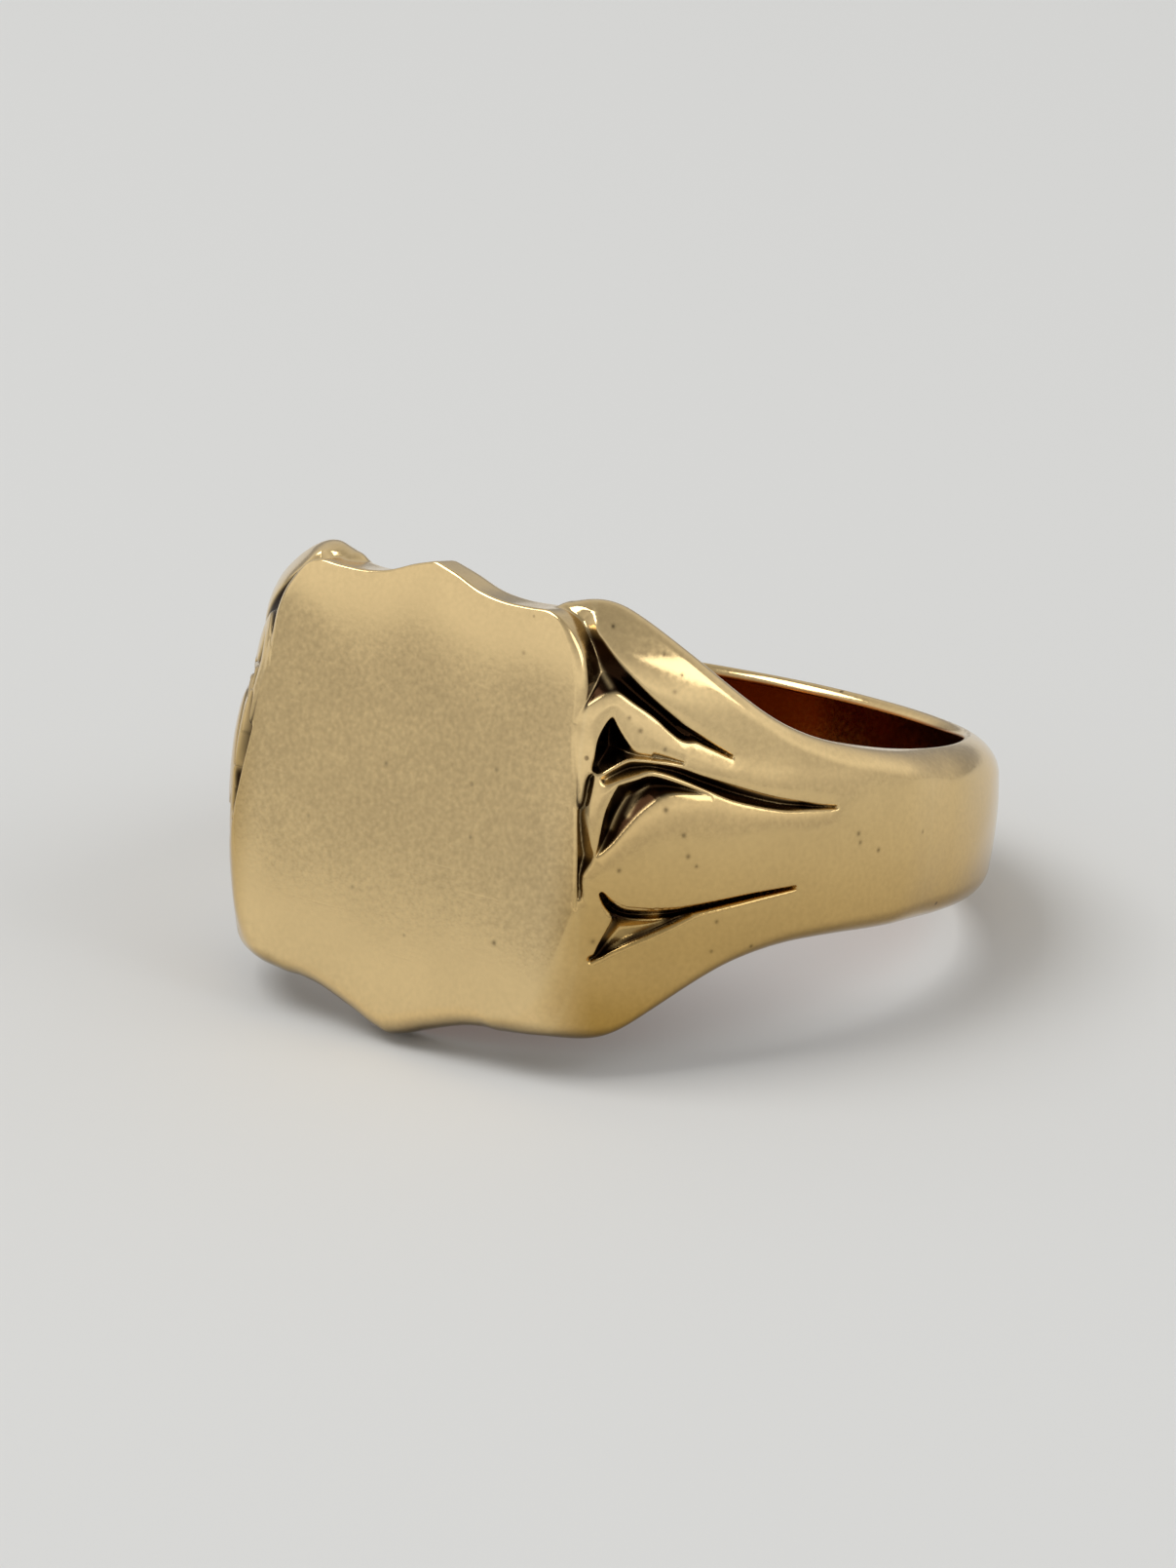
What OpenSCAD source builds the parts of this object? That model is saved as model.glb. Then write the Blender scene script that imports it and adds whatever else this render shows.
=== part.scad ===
// Gentleman's gold signet ring: a shield-shaped face, carved leaf shoulders
// and a D-section shank, made at the bench from six wrought pieces and
// joined with hard solder.  All dimensions are in millimetres.
//
// The ring is drawn first in its own frame: the finger hole runs along Z
// through the origin, the face looks toward -Y and the back of the shank
// lies toward +Y.  It is then laid on its side on a table (Z = 0), where it
// rests on the bottom cusp of the shield and on the back of the shank.

/* [Finger hole] */
// Diameter of the finger hole
bore_d = 19.2; // [17:0.1:21.5]

/* [Shield head] */
// Width of the shield at its widest
shield_w = 12.8; // [12:0.1:13.4]
// Height of the shield from its top cusp to its bottom cusp
shield_h = 13.9; // [13.2:0.1:14.8]
// Thickness of the whole head at the middle of the face
head_t = 1.7; // [1.5:0.05:2]
// Thickness of the engraving plate that forms the face
plate_t = 0.8; // [0.5:0.05:1]

/* [Carved shoulders] */
// Radius of the outward sweep of each shoulder, seen along the finger hole
sweep_r = 15; // [14.6:0.1:15.6]
// Radius of the dome across the upper half of the band
dome_r = 12.5; // [9:0.5:15]
// Radius of the flatter dome across the lower half of the band
foot_dome_r = 20; // [12:1:24]
// Depth of the two long grooves and the claw cut
carve_d = 0.55; // [0.2:0.05:0.8]
// Depth of the leaf pit and of the cut beside the shield
pit_d = 0.75; // [0.3:0.05:1]

/* [Shank] */
// Thickness of the shank at the crown of its section
shank_t = 1.45; // [1.3:0.05:1.7]
// Width of the band at the sides of the finger
side_w = 4.95; // [4.4:0.05:5.6]
// Width of the band at the back of the finger
back_w = 4.2; // [3.6:0.05:4.8]

/* [Solder] */
// Thickness of every solder joint
solder_t = 0.1; // [0.06:0.01:0.2]

/* [Hidden] */
$fn = 96;
gold   = [0.80, 0.66, 0.45];
gold2  = [0.76, 0.61, 0.40];
solder = [0.86, 0.76, 0.58];

bore_r = bore_d / 2;
face_r = bore_r + head_t;           // finger-hole axis to the face
crown_r = bore_r + shank_t;         // finger-hole axis to the crown of the shank
joint_y = -0.4;                     // plane where shoulders meet the shank
sweep_x = crown_r - sweep_r;        // sweep axis of the right-hand shoulder
kw = shield_w / 12.8;
kh = shield_h / 13.9;
ky = crown_r / 11.05;
up_w = side_w * 0.545;              // share of the band above mid-height
low_w = side_w - up_w;

// Catmull-Rom curve through hand-set points, n steps between neighbours.
function smooth_at(p, i, t) =
    let (a = p[max(i - 1, 0)], b = p[i], c = p[i + 1], d = p[min(i + 2, len(p) - 1)])
    0.5 * (2 * b + (c - a) * t + (2 * a - 5 * b + 4 * c - d) * t * t
           + (3 * b - a - 3 * c + d) * t * t * t);
function smooth(p, n) = concat(
    [for (i = [0 : len(p) - 2]) for (k = [0 : n - 1]) smooth_at(p, i, k / n)],
    [p[len(p) - 1]]);

// Right half of the shield: top cusp, scallop, horn, waist, hip, bottom cusp.
shield_half = [
    [0, 6.9], [0.8, 6.67], [1.7, 6.34], [2.6, 6.2], [3.5, 6.2], [4.22, 6.22],
    [4.8, 5.95], [5.36, 5.32], [5.66, 4.55], [5.76, 3.7], [5.82, 2.5], [6, 1],
    [6.25, -0.7], [6.4, -2.2], [6.3, -3.6], [5.9, -4.8], [5.1, -5.6],
    [4, -5.95], [2.7, -6.15], [1.4, -6.55], [0.6, -6.85], [0, -7]];

function shield(grow = 0) =
    let (h = smooth(shield_half, 2),
         fx = kw * (1 + grow / 6.4), fz = kh * (1 + grow / 6.95),
         right = [for (q = h) [q.x * fx, q.y * fz]])
    concat(right, [for (i = [len(right) - 2 : -1 : 1]) [-right[i].x, right[i].y]]);

// Upper and lower edge of the band in side view, as [y, z].
band_top = [
    [-14, 6.2], [-11.3, 6.25], [-10.3, 6.5], [-9.5, 6.65], [-8.9, 6.15],
    [-8.35, 5.45], [-7.4, 4.5], [-6.4, 3.75], [-5.2, 3.3],
    [-3.8, up_w + 0.3], [-2, up_w + 0.1], [0, up_w],
    [4.7, (2 * up_w + back_w / 2) / 3], [9, back_w / 2 + 0.1], [11.1, back_w / 2],
    [13, back_w / 2]];
band_low = [
    [-14, 5.8], [-11.3, 5.85], [-10.2, 5.9], [-9.3, 5.8], [-8.7, 5.1],
    [-7.9, 4.15], [-6.9, 3.3], [-5.6, 2.75],
    [-4, low_w + 0.2], [-2.2, low_w + 0.08], [0, low_w],
    [4.7, (2 * low_w + back_w / 2) / 3], [9, back_w / 2], [11.1, back_w / 2],
    [13, back_w / 2]];

module band_sides() {
    t = smooth(band_top, 2);
    b = smooth(band_low, 2);
    rotate([90, 0, 90])
        linear_extrude(height = 40, center = true)
            polygon(concat([for (q = t) [q.x * ky, q.y]],
                           [for (i = [len(b) - 1 : -1 : 0]) [b[i].x * ky, -b[i].y]]));
}

module finger_hole() { cylinder(r = bore_r, h = 40, center = true); }

module shield_prism(y0, y1, grow = 0) {
    translate([0, y1, 0]) rotate([90, 0, 0])
        linear_extrude(height = y1 - y0) polygon(shield(grow));
}

// Domed band turned about its own axis: crown radius r, lowered by inset.
module domed_band(r, inset = 0) {
    rotate_extrude()
        union() {
            intersection() {
                translate([r - dome_r, 0]) circle(r = dome_r - inset);
                translate([r - 6.2, 0]) square([7, 7.6]);
            }
            intersection() {
                translate([r - foot_dome_r, 0]) circle(r = foot_dome_r - inset);
                translate([r - 6.2, -7.6]) square([7, 7.6]);
            }
        }
}

// How far the dome has fallen from its crown at height z.
function fall(z) = let (r = z > 0 ? dome_r : foot_dome_r) r - sqrt(r * r - z * z);

module sweep(inset = 0) {
    translate([sweep_x, joint_y, 0]) domed_band(sweep_r, inset);
}

// A carved cut on the right-hand shoulder.  Outline points are [a, z], where
// a is the angle about the sweep axis; the floor follows the domed surface.
module carve(outline, deep, mid) {
    difference() {
        translate([sweep_x, joint_y, 0]) rotate([0, 0, mid]) rotate([90, 0, 0])
            translate([0, 0, sweep_r - 4])
                linear_extrude(height = 6)
                    polygon([for (q = outline)
                        [(sweep_r - fall(q[1])) * sin(q[0] - mid), q[1]]]);
        sweep(deep);
    }
}

// Long groove that parts the upper rail from the leaf.
module cut_upper() {
    carve([[38.5, 5.6], [42.2, 5.9], [44.8, 5.5], [47.9, 4.8], [51.4, 4], [54.9, 3.45],
           [57.8, 3.05], [60.5, 2.75], [56.5, 2.9], [53.8, 3.05], [51.5, 3.4],
           [48, 3.9], [45.9, 4.2], [43.7, 4.1], [42.2, 4.3], [38.5, 4.6]], carve_d, 49);
}
// Claw cut below the leaf, running out in a long tail.
module cut_claw() {
    carve([[44.5, 0.4], [44.9, 1.5], [46.3, 2], [48.9, 2.45], [52.8, 2.35], [56.2, 2.1],
           [60.9, 1.9], [65.8, 1.65], [73, 1.4], [69, 1.3], [65.9, 1.3], [61, 1.45],
           [56.3, 1.6], [52.4, 1.55], [49.8, 1.3], [47.8, 0.85], [46.4, 0.35],
           [45.2, -0.4]], carve_d, 56);
}
// Lower groove: a forked root drawn out to a point.
module cut_lower() {
    carve([[46.7, -1.5], [48.4, -1.9], [49.8, -1.8], [53.5, -1.6], [57.9, -1.35],
           [63.5, -1.05], [69, -0.9], [63.7, -1.2], [58.1, -1.65], [54.9, -2],
           [51.9, -2.45], [50, -2.9], [47.9, -3.3], [47, -3.35], [47.8, -2.65],
           [48.6, -2.15]], carve_d, 57);
}
// Three-cornered pit in the leaf.
module cut_pit() {
    carve([[46, 3.55], [47, 3.3], [48.2, 2.9], [49.6, 2.65], [47.2, 2.4], [44.2, 2.05],
           [45, 2.8]], pit_d, 47);
}
// Narrow cut that sets the upper side of the shield free of the shoulder.
module cut_side() {
    carve([[38.5, 3.3], [41.9, 3.1], [42.1, 1.8], [43.2, -0.1], [44.9, -0.5],
           [44.2, -1.7], [38.5, -1.7]], pit_d, 43);
}

// One shoulder before carving, with the shield's side let into it.
module shoulder_stock(grow) {
    difference() {
        intersection() {
            sweep();
            band_sides();
            // limits in plan and front view: shield horn, foot and face plane
            translate([0, joint_y - solder_t / 2, 0]) rotate([90, 0, 0])
                linear_extrude(height = face_r + joint_y - solder_t / 2)
                    polygon([[3, 5], [4.2 * kw, 6.2 * kh], [4.9 * kw, 6.7 * kh], [14, 6.7 * kh],
                             [14, -6.4], [5 * kw, -6.2 * kh], [4.2 * kw, -5.9 * kh], [3, -5]]);
        }
        finger_hole();
        shield_prism(-20, -3, grow);
    }
}

module carving() { cut_upper(); cut_claw(); cut_lower(); cut_pit(); cut_side(); }

module shoulder() { difference() { shoulder_stock(solder_t); carving(); } }

module shoulder_seam() {
    difference() {
        intersection() { shoulder_stock(0); shield_prism(-20, -3, solder_t); }
        carving();
    }
}

module shank_band() {
    difference() {
        intersection() { domed_band(crown_r); band_sides(); }
        finger_hole();
    }
}

module shank() {
    intersection() {
        shank_band();
        translate([solder_t / 2, joint_y + solder_t / 2, -5]) cube([20, 20, 10]);
    }
}

// Laid on the table: lean about X, then moved so that the origin is at the
// bottom centre of the ring's box.
foot_z = 7 * kh;                                    // bottom cusp of the shield
back_z = back_w / 2;                                // lower edge at the back
back_y = crown_r - fall(-back_z);                   // outer corner of that edge
top_y = crown_r - fall(back_z);                     // and of the upper edge
lean = atan2(foot_z - back_z, bore_r + back_y);
rest_z = foot_z * cos(lean) - bore_r * sin(lean);
front_y = -face_r * cos(lean) - foot_z * sin(lean);
rear_y = top_y * cos(lean) + back_z * sin(lean);
module lay() {
    translate([0, -(front_y + rear_y) / 2, rest_z]) rotate([-lean, 0, 0]) children();
}

module signet_plate() {
    color(gold) lay() shield_prism(-face_r, -face_r + plate_t);
}
module plate_solder() {
    color(solder) lay()
        shield_prism(-face_r + plate_t, -face_r + plate_t + solder_t);
}
module head_block() {
    color(gold) lay() difference() {
        shield_prism(-face_r + plate_t + solder_t, -3);
        finger_hole();
    }
}
module shoulder_right() { color(gold) lay() shoulder(); }
module shoulder_left() { color(gold) lay() mirror([1, 0, 0]) shoulder(); }
module shoulder_solder() {
    color(solder) lay() { shoulder_seam(); mirror([1, 0, 0]) shoulder_seam(); }
}
module shank_right() { color(gold2) lay() shank(); }
module shank_left() { color(gold2) lay() mirror([1, 0, 0]) shank(); }
module shank_solder() {
    color(solder) lay() intersection() {
        shank_band();
        translate([-20, joint_y - solder_t / 2, -5]) cube([40, solder_t, 10]);
    }
}
module sizing_seam() {
    color(solder) lay() intersection() {
        shank_band();
        translate([-solder_t / 2, 0, -5]) cube([solder_t, 20, 10]);
    }
}

signet_plate();
head_block();
shoulder_left();
shoulder_right();
shank_left();
shank_right();
plate_solder();
shoulder_solder();
shank_solder();
sizing_seam();
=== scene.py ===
import math
import bpy
import bmesh
import numpy as np
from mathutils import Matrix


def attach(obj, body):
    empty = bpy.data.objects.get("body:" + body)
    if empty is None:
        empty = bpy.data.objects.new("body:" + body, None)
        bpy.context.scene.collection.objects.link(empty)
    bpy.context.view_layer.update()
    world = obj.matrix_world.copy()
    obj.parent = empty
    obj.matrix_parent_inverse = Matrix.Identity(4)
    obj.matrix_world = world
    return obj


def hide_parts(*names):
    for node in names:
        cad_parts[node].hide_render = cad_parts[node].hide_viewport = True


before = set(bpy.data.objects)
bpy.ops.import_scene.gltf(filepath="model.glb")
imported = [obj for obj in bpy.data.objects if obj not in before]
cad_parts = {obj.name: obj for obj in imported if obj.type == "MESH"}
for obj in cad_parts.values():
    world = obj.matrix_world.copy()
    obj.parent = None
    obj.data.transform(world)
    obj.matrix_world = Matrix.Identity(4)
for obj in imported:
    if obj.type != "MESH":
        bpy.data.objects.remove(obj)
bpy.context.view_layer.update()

# ------------------------------------------------------------------ camera
scene = bpy.context.scene
cam_data = bpy.data.cameras.new("camera")
cam = bpy.data.objects.new("camera", cam_data)
scene.collection.objects.link(cam)
scene.camera = cam
cam_data.sensor_width = 36.0
cam_data.lens = 137.56
cam_data.clip_start = 0.005
cam_data.clip_end = 10.0
right = np.array([0.79184, 0.61045, -0.01840])
up = np.array([-0.19575, 0.28221, 0.93917])
right /= np.linalg.norm(right)
up -= right * (up @ right)
up /= np.linalg.norm(up)
back = np.cross(right, up)
m = np.eye(4)
m[:3, 0], m[:3, 1], m[:3, 2] = right, up, back
m[:3, 3] = np.array([103.435, -133.947, 66.376]) * 1e-3
from mathutils import Matrix
cam.matrix_world = Matrix(m.tolist())

# ------------------------------------------------------- the ring's own frame
# Millimetres; finger hole along z through the origin, face towards -y.
BORE, FACE, CROWN, FOOT, BACK = 9.6, 11.3, 11.05, 7.0, 2.1
SWEEP_R, SWEEP_X, JOINT_Y, SOLDER = 15.0, -3.95, -0.4, 0.1


def fall(z):
    r = np.where(z > 0, 10.0, 20.0)
    return r - np.sqrt(np.maximum(r * r - z * z, 1.0))


def _fall1(z):
    return float(fall(np.array([z]))[0])


lean = math.atan2(FOOT - BACK, BORE + CROWN - _fall1(-BACK))
cl, sl = math.cos(lean), math.sin(lean)
rest_z = FOOT * cl - BORE * sl
front_y = -FACE * cl - FOOT * sl
rear_y = (CROWN - (12.5 - (12.5 ** 2 - BACK ** 2) ** 0.5)) * cl + BACK * sl
LAY = np.array([[1, 0, 0], [0, cl, sl], [0, -sl, cl]])
LAY_T = np.array([0, -(front_y + rear_y) / 2, rest_z])


def smoothstep(a, b, t):
    t = np.clip((t - a) / (b - a), 0.0, 1.0)
    return t * t * (3 - 2 * t)


def catmull(p, n):
    p = np.asarray(p, float)
    out = []
    for i in range(len(p) - 1):
        a, b, c, d = p[max(i - 1, 0)], p[i], p[i + 1], p[min(i + 2, len(p) - 1)]
        for k in range(n):
            t = k / n
            out.append(0.5 * (2 * b + (c - a) * t + (2 * a - 5 * b + 4 * c - d) * t * t
                              + (3 * b - a - 3 * c + d) * t ** 3))
    out.append(p[-1])
    return np.array(out)


def blur(a, sigma, spacing):
    s = sigma / spacing
    if s < 0.3:
        return a
    n = int(math.ceil(3 * s))
    k = np.exp(-0.5 * (np.arange(-n, n + 1) / s) ** 2)
    k /= k.sum()
    for ax in range(a.ndim):
        pad = [(0, 0)] * a.ndim
        pad[ax] = (n, n)
        b = np.pad(a, pad, mode="edge")
        acc = 0
        for i, w in enumerate(k):
            sli = [slice(None)] * a.ndim
            sli[ax] = slice(i, i + a.shape[ax])
            acc = acc + w * b[tuple(sli)]
        a = acc
    return a


def seg_dist(px, pz, line):
    """Distance from every grid point to an open polyline."""
    best = np.full(px.shape, 1e9)
    for (ax, az), (bx, bz) in zip(line[:-1], line[1:]):
        dx, dz = bx - ax, bz - az
        ll = dx * dx + dz * dz
        if ll < 1e-12:
            continue
        t = np.clip(((px - ax) * dx + (pz - az) * dz) / ll, 0, 1)
        d = (px - ax - t * dx) ** 2 + (pz - az - t * dz) ** 2
        np.minimum(best, d, out=best)
    return np.sqrt(best)


def poly_sd(px, pz, poly):
    """Signed distance to a closed polygon, negative inside."""
    closed = np.vstack([poly, poly[:1]])
    d = seg_dist(px, pz, closed)
    inside = np.zeros(px.shape, bool)
    for (ax, az), (bx, bz) in zip(closed[:-1], closed[1:]):
        if az == bz:
            continue
        cross = ((az > pz) != (bz > pz)) & (px < (bx - ax) * (pz - az) / (bz - az) + ax)
        inside ^= cross
    return np.where(inside, -d, d)


class Map2:
    """A height map read with a quadratic B-spline, so that its slope is smooth."""

    def __init__(self, x0, z0, spacing, values):
        self.x0, self.z0, self.h = x0, z0, spacing
        self.v = values.astype(np.float64)

    def __call__(self, x, z):
        fx = (x - self.x0) / self.h
        fz = (z - self.z0) / self.h
        fx = np.clip(fx, 1.0, self.v.shape[0] - 2.001)
        fz = np.clip(fz, 1.0, self.v.shape[1] - 2.001)
        ix = np.floor(fx + 0.5).astype(np.int64)
        iz = np.floor(fz + 0.5).astype(np.int64)
        tx, tz = fx - ix, fz - iz
        wx = (0.5 * (0.5 - tx) ** 2, 0.75 - tx * tx, 0.5 * (0.5 + tx) ** 2)
        wz = (0.5 * (0.5 - tz) ** 2, 0.75 - tz * tz, 0.5 * (0.5 + tz) ** 2)
        flat = self.v.ravel()
        base = ix * self.v.shape[1] + iz
        out = 0.0
        for i in range(3):
            row = 0.0
            for j in range(3):
                row = row + wz[j] * flat[base + (i - 1) * self.v.shape[1] + (j - 1)]
            out = out + wx[i] * row
        return out


# ---------------------------------------------------------- shield outline map
SHIELD_HALF = [
    (0, 6.9), (0.8, 6.67), (1.7, 6.34), (2.6, 6.2), (3.5, 6.2), (4.22, 6.22),
    (4.8, 5.95), (5.36, 5.32), (5.66, 4.55), (5.76, 3.7), (5.82, 2.5), (6, 1),
    (6.25, -0.7), (6.4, -2.2), (6.3, -3.6), (5.9, -4.8), (5.1, -5.6),
    (4, -5.95), (2.7, -6.15), (1.4, -6.55), (0.6, -6.85), (0, -7)]
_h = 0.04
_half = catmull(SHIELD_HALF, 8)
_gx = np.arange(-1.6, 9.0, _h)
_gz = np.arange(-8.2, 8.2, _h)
_px, _pz = np.meshgrid(_gx, _gz, indexing="ij")
_full = np.vstack([_half, [(-q[0], q[1]) for q in _half[-2:0:-1]]])
_near = np.vstack([[(-q[0], q[1]) for q in _half[10:0:-1]], _half,
                   [(-q[0], q[1]) for q in _half[-2:-12:-1]]])
_d = seg_dist(_px, _pz, _near)
_in = np.zeros(_px.shape, bool)
_cl = np.vstack([_full, _full[:1]])
for (ax, az), (bx, bz) in zip(_cl[:-1], _cl[1:]):
    if az != bz:
        _in ^= ((az > _pz) != (bz > _pz)) & (_px < (bx - ax) * (_pz - az) / (bz - az) + ax)
_s = np.where(_in, -_d, _d)
SHIELD = Map2(-1.6, -8.2, _h, blur(_s, 0.05, _h))
_c = 0.13 * np.exp(np.minimum(_s, 0.4) / 1.15)
CROWN_MAP = Map2(-1.6, -8.2, _h, blur(_c, 0.40, _h))

# ------------------------------------------------------------- band side edges
UP_W, LOW_W = 4.95 * 0.545, 4.95 * 0.455
BAND_TOP = [(-14, 6.3), (-11.3, 6.35), (-10.4, 6.65), (-9.6, 6.85), (-8.95, 6.4), (-8.4, 5.7),
            (-7.5, 4.75), (-6.4, 3.95), (-5.2, 3.42), (-3.8, UP_W + 0.40), (-2, UP_W + 0.18),
            (0, UP_W + 0.06), (4.7, (2 * UP_W + BACK) / 3 + 0.12), (9, BACK + 0.26),
            (11.1, BACK + 0.24), (13, BACK + 0.24)]
BAND_LOW = [(-14, 5.8), (-11.3, 5.85), (-10.2, 5.9), (-9.3, 5.8), (-8.7, 5.1), (-7.9, 4.15),
            (-6.9, 3.3), (-5.6, 2.75), (-4, LOW_W + 0.2), (-2.2, LOW_W + 0.08), (0, LOW_W),
            (4.7, (2 * LOW_W + BACK) / 3), (9, BACK), (11.1, BACK), (13, BACK)]
_yy = np.arange(-14, 13, 0.02)


def edge_table(points, sigma):
    c = catmull(points, 24)
    z = np.interp(_yy, c[:, 0], c[:, 1])
    z = blur(z, sigma, 0.02)
    g = np.gradient(z, 0.02)
    return z, 1 / np.sqrt(1 + blur(g, 0.25, 0.02) ** 2)


TOP_Z, TOP_C = edge_table(BAND_TOP, 0.25)
LOW_Z, LOW_C = edge_table(BAND_LOW, 0.25)

# --------------------------------------------------------------- carved leaves
# Outlines of the cuts on a shoulder, as (angle about the sweep axis, z).
CUTS = {
    "upper": (1.25, 0.95, [
        (42.5, 6.30), (43.2, 5.85), (44.1, 5.59), (45.8, 5.14), (47.9, 4.67), (49.8, 4.28),
        (51.8, 3.92), (53.8, 3.59), (55.4, 3.33), (57.1, 3.09), (59.8, 2.74), (57.0, 2.93),
        (55.6, 3.03), (54.0, 3.03), (52.2, 3.29), (50.9, 3.54), (49.7, 3.73), (47.9, 3.97),
        (46.1, 4.22), (45.2, 4.20), (44.1, 4.06), (43.1, 3.87), (42.4, 3.64), (41.9, 3.36),
        (41.3, 3.03), (38.0, 3.6), (36.5, 6.3)]),
    "pit": (2.2, 1.0, [
        (45.7, 3.60), (46.6, 3.24), (47.6, 2.92), (48.7, 2.66), (50.2, 2.62), (51.6, 2.55),
        (53.8, 2.47), (51.4, 2.46), (49.4, 2.47), (47.9, 2.43), (46.2, 2.17), (44.9, 1.95),
        (43.9, 2.02), (44.1, 2.47), (44.3, 2.92), (45.0, 3.36)]),
    "claw": (1.7, 0.75, [
        (44.9, 1.84), (46.2, 2.10), (47.9, 2.36), (49.4, 2.40), (51.4, 2.39), (53.9, 2.33),
        (56.2, 2.18), (58.0, 2.08), (60.9, 1.92), (65.8, 1.67), (73.0, 1.43), (69.1, 1.29),
        (65.9, 1.29), (61.0, 1.46), (58.1, 1.66), (54.0, 1.99), (50.8, 2.15), (49.0, 2.00),
        (47.2, 1.82), (45.6, 1.66)]),
    "fan": (1.3, 0.8, [
        (47.0, 1.70), (49.0, 1.90), (50.8, 2.05), (54.0, 1.90), (57.6, 1.62), (56.1, 1.62),
        (52.7, 1.53), (50.2, 1.07), (48.4, 0.48), (47.1, 0.00), (45.5, -0.38), (45.5, 0.0),
        (45.8, 0.86), (46.4, 1.36)]),
    "side": (1.9, 0.9, [
        (36.5, 3.7), (41.4, 3.4), (41.9, 2.60), (42.4, 1.90), (43.0, 1.10), (43.3, 1.75),
        (43.9, 1.96), (44.4, 1.85), (44.2, 0.95), (44.3, 0.53), (44.9, -0.08), (45.3, -0.42),
        (44.4, -0.97), (43.9, -1.75), (36.5, -1.6)]),
    "lower": (1.6, 0.62, [
        (46.2, -1.30), (47.2, -1.66), (48.2, -1.87), (49.8, -2.00), (52.4, -2.02),
        (54.7, -1.90), (58.0, -1.65), (62.4, -1.33), (66.0, -1.14), (69.2, -0.93),
        (64.8, -1.17), (60.2, -1.52), (55.9, -1.93), (52.8, -2.41), (49.8, -2.87),
        (47.9, -3.27), (46.7, -3.37), (47.0, -2.96), (47.6, -2.54), (48.1, -2.15),
        (47.7, -1.95)]),
}
_hu = 0.025
_u0, _z0 = 15 * math.radians(36.0), -4.6
STROKES = [
    # widths along the cut, depth, darkness, points along the cut
    ((0.03, 0.10, 0.11, 0.10, 0.07, 0.05, 0.02), 0.34, 1.0, [
        (46.6, -1.42), (48.0, -1.80), (50.2, -1.97), (54.7, -1.87), (58.0, -1.63), (64.0, -1.22), (69.4, -0.92)]),
    ((0.06, 0.07, 0.07, 0.05), 0.15, 1.0, [(46.5, -3.36), (49.8, -2.82), (52.8, -2.40), (57.0, -1.80)]),
    ((0.10, 0.08, 0.05, 0.02), 0.22, 1.0, [(53.4, 3.45), (55.8, 3.17), (57.7, 2.96), (60.0, 2.72)]),
    ((0.06, 0.07, 0.06, 0.02), 0.16, 1.0, [(62.0, 1.66), (66.0, 1.50), (70.0, 1.41), (73.8, 1.41)]),
    ((0.08, 0.08, 0.07, 0.02), 0.25, 1.0, [(42.9, 0.1), (43.3, -0.6), (43.6, -1.2), (43.9, -1.9)]),
    ((0.06, 0.05, 0.02), 0.10, 0.8, [(50.8, 2.60), (52.4, 2.53), (54.2, 2.46)]),
]


def stroke_field(px, pz, widths, pts):
    """Distance from a tapering stroke's centre line, over the local width."""
    c = np.array(pts, float)
    c[:, 0] = 15 * np.radians(c[:, 0])
    k = 6
    line = catmull(c, k)
    wd = np.interp(np.arange(len(line)) / k, np.arange(len(widths)), widths)
    best = np.full(px.shape, 1e9)
    for n in range(len(line) - 1):
        (ax, az), (bx, bz) = line[n], line[n + 1]
        dx, dz = bx - ax, bz - az
        t = np.clip(((px - ax) * dx + (pz - az) * dz) / (dx * dx + dz * dz), 0, 1)
        d = np.hypot(px - ax - t * dx, pz - az - t * dz)
        np.minimum(best, d / (wd[n] + t * (wd[n + 1] - wd[n])), out=best)
    return best


_gu = np.arange(_u0, 15 * math.radians(78.0), _hu)
_gw = np.arange(_z0, 7.4, _hu)
_pu, _pw = np.meshgrid(_gu, _gw, indexing="ij")
_depth = np.zeros(_pu.shape)
_roll = np.zeros(_pu.shape)
for name, (slope, dmax, pts) in CUTS.items():
    c = np.array(pts, float)
    c[:, 0] = 15 * np.radians(c[:, 0])
    c = catmull(np.vstack([c, c[:1]]), 4)[:-1] if name != "x" else c
    sd = poly_sd(_pu, _pw, c)
    ins = np.maximum(-sd, 0)
    dep = dmax * (1 - np.exp(-slope * ins / dmax))
    _depth = np.maximum(_depth, dep)
    _roll = np.maximum(_roll, 0.07 * np.exp(-np.maximum(sd, 0) / 0.22))
_fields = [stroke_field(_pu, _pw, wd, pts) for wd, dp, dk, pts in STROKES]
for (wd, dp, dk, pts), d in zip(STROKES, _fields):
    _depth = np.maximum(_depth, np.where(d < 2.5, dp * np.exp(-d ** 2), 0))
_depth = np.maximum(np.where(_depth > 0.002, _depth + 0.07, 0), _roll)
CARVE = Map2(_u0, _z0, _hu, blur(_depth, 0.022, _hu))



# Dark deposit held by the cuts, partly real dirt and partly painted shade in the recesses, and the bright ridges
# left between them.
_dark = np.zeros(_pu.shape)
for name, (slope, dmax, pts) in CUTS.items():
    c = np.array(pts, float)
    c[:, 0] = 15 * np.radians(c[:, 0])
    c = catmull(np.vstack([c, c[:1]]), 4)[:-1]
    sd = poly_sd(_pu, _pw, c)
    _dark = np.maximum(_dark, smoothstep(-0.02, 0.05, -sd))
for (wd, dp, dk, pts), d in zip(STROKES, _fields):
    _dark = np.maximum(_dark, dk * smoothstep(1.2, 0.7, d))
_dark *= 1 - 0.80 * smoothstep(5.55, 6.05, _pw)


def line_uz(pts):
    c = np.array(pts, float)
    c[:, 0] = 15 * np.radians(c[:, 0])
    return catmull(c, 6)


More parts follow.
